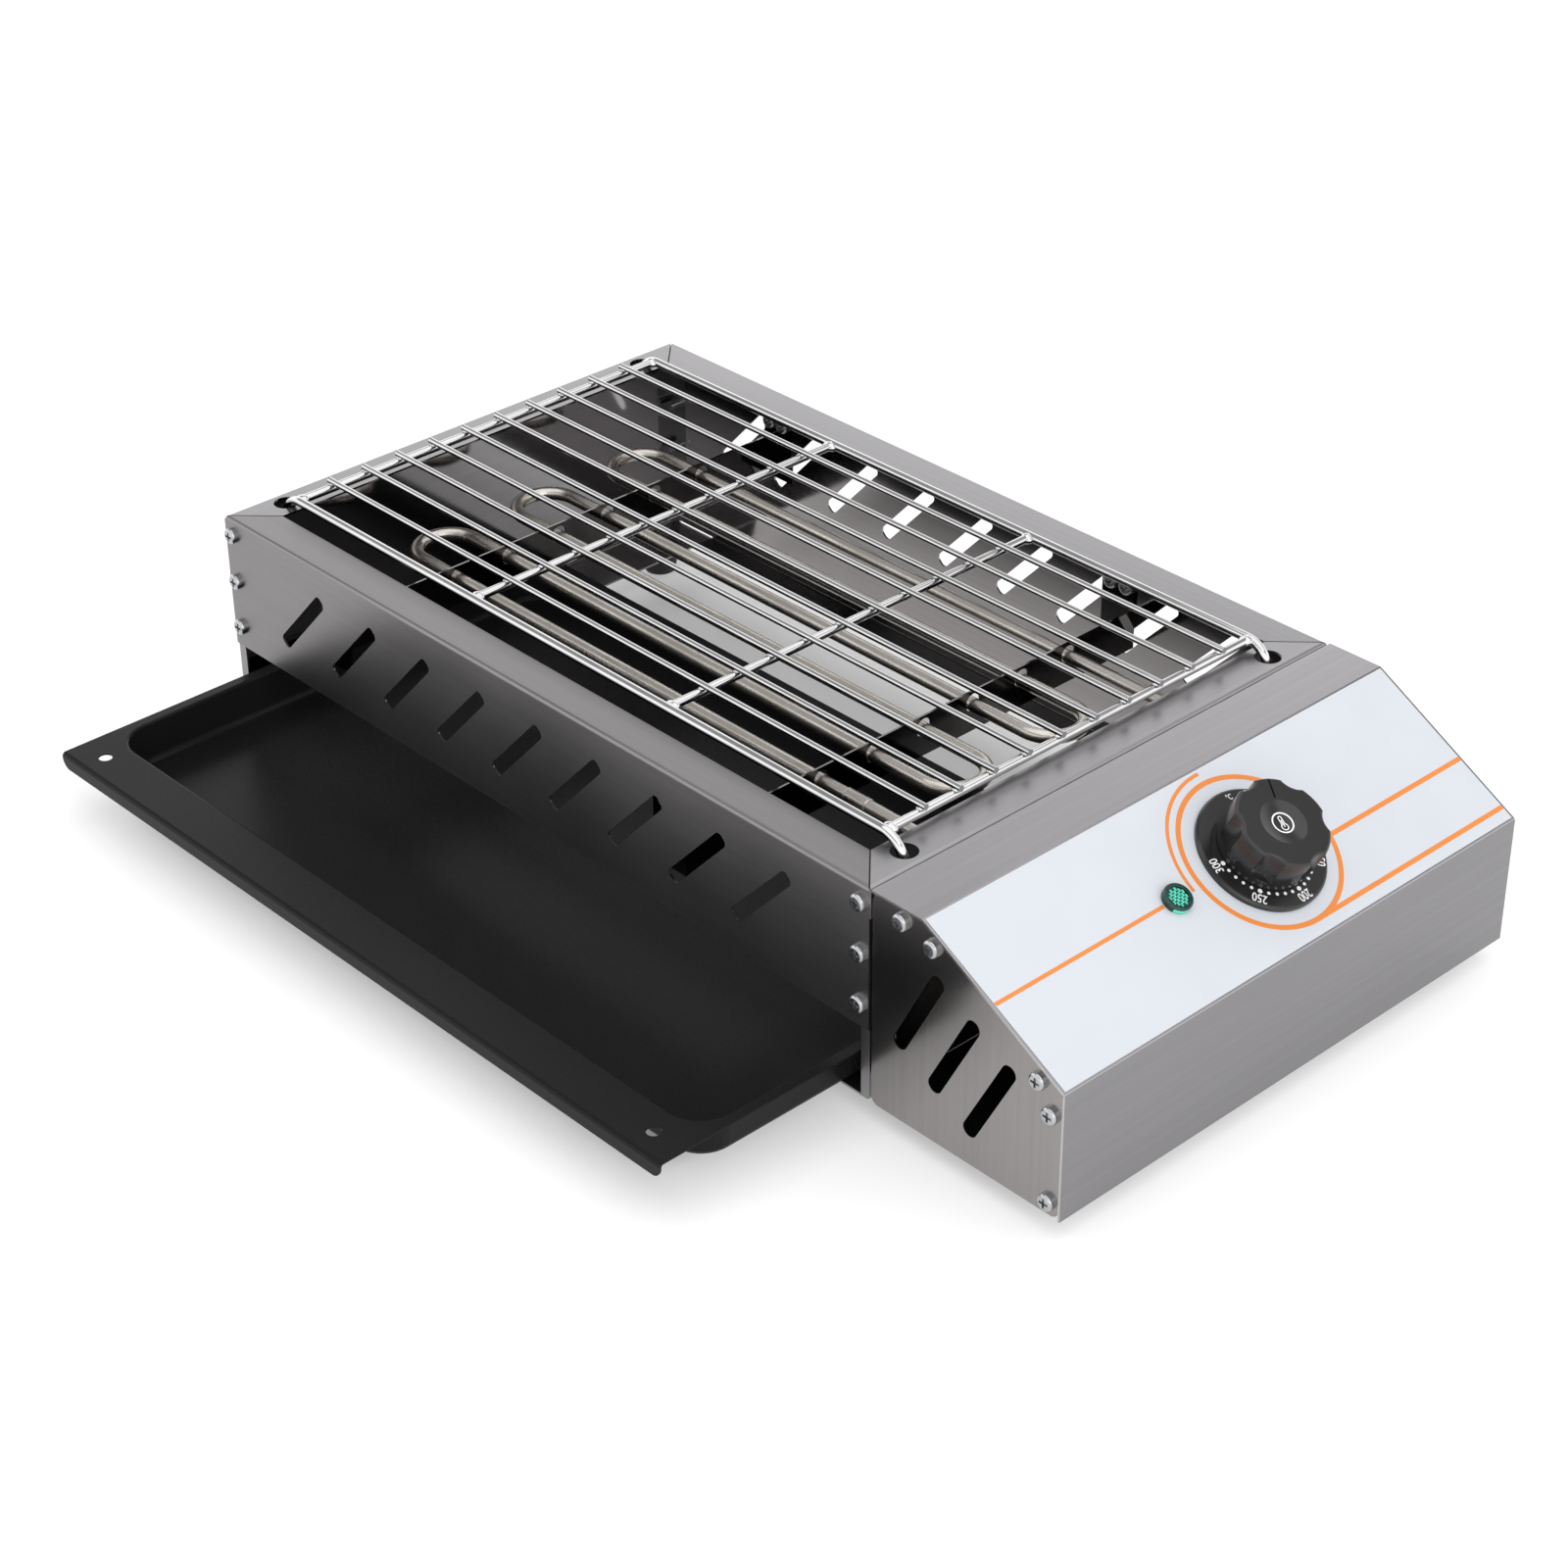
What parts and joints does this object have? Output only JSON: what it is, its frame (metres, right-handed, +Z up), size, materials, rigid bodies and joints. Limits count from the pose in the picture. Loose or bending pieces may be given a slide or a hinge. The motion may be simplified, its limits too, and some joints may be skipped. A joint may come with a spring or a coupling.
{
  "type": "electric grill",
  "caption": "Table-top electric grill: open sheet-steel body with a wire grate over a tubular element, a pull-out drip tray and a sloping control box with thermostat knob and lamp.",
  "frame": {"origin": "middle of the feet on the worktop: half the length from the body's far end to the control box's end face, half the body's width", "axes": "+X along the grill towards the control box, -Y towards the drip tray's front edge, +Z up"},
  "size_m": [0.54, 0.3898, 0.1233],
  "materials": {
    "brushed_stainless": "fine brushed grain along the panels",
    "polished_stainless": "bright, nearly mirror-like",
    "zinc_steel": "bright zinc plating",
    "chromed_wire": "bright chrome plating",
    "element_sheath": "satin, slightly heat-tinted",
    "black_enamel": "matte black baked coating",
    "black_rubber": "matte",
    "white_overlay": "satin printed film with orange lines",
    "dark_plastic": "fine matte moulding",
    "green_lens": "clear tinted lens with a fine facet grid",
    "white_ceramic": "unglazed",
    "copper_tube": "drawn copper",
    "brass": "plain"
  },
  "bodies": {
    "housing": {"front_panel": "brushed_stainless", "rear_panel": "brushed_stainless", "left_end_panel": "brushed_stainless", "right_end_panel": "brushed_stainless", "panel_screws": "zinc_steel", "heating_element": "element_sheath", "element_bushings": "zinc_steel", "element_nuts": "zinc_steel", "element_insulators": "white_ceramic", "element_pins": "zinc_steel", "element_bracket_left": "polished_stainless", "element_bracket_right": "polished_stainless", "bracket_screws": "zinc_steel", "rubber_feet": "black_rubber", "foot_screws": "zinc_steel", "control_cover": "brushed_stainless", "control_side_front": "brushed_stainless", "control_side_rear": "brushed_stainless", "control_base": "brushed_stainless", "control_screws": "zinc_steel", "control_overlay": "white_overlay", "dial_ring": "dark_plastic", "thermostat_body": "dark_plastic", "thermostat_screws": "zinc_steel", "thermostat_bulb": "copper_tube", "bulb_clips": "polished_stainless", "lamp_lens": "green_lens", "lamp_body": "dark_plastic", "lamp_nut": "dark_plastic", "terminal_block": "white_ceramic", "terminal_screws": "brass", "cord_gland": "dark_plastic", "gland_nut": "dark_plastic"},
    "tray": {"drip_tray": "black_enamel"},
    "grate": {"grill_grate": "chromed_wire"},
    "knob": {"control_knob": "dark_plastic", "thermostat_shaft": "zinc_steel"}
  },
  "joints": [
    {"name": "tray_slide", "type": "slide", "parent": "housing", "child": "tray", "axis": [0, -1, 0], "range_m": [-0.097, 0.11]},
    {"name": "grate_lift", "type": "slide", "parent": "housing", "child": "grate", "axis": [0, 0, 1], "range_m": [0, 0.12]},
    {"name": "knob_turn", "type": "hinge", "parent": "housing", "child": "knob", "pos_m": [0.23155, 0.0163, 0.0927], "axis": [-0.4846, 0, -0.8747], "range_deg": [-20, 252]}
  ]
}
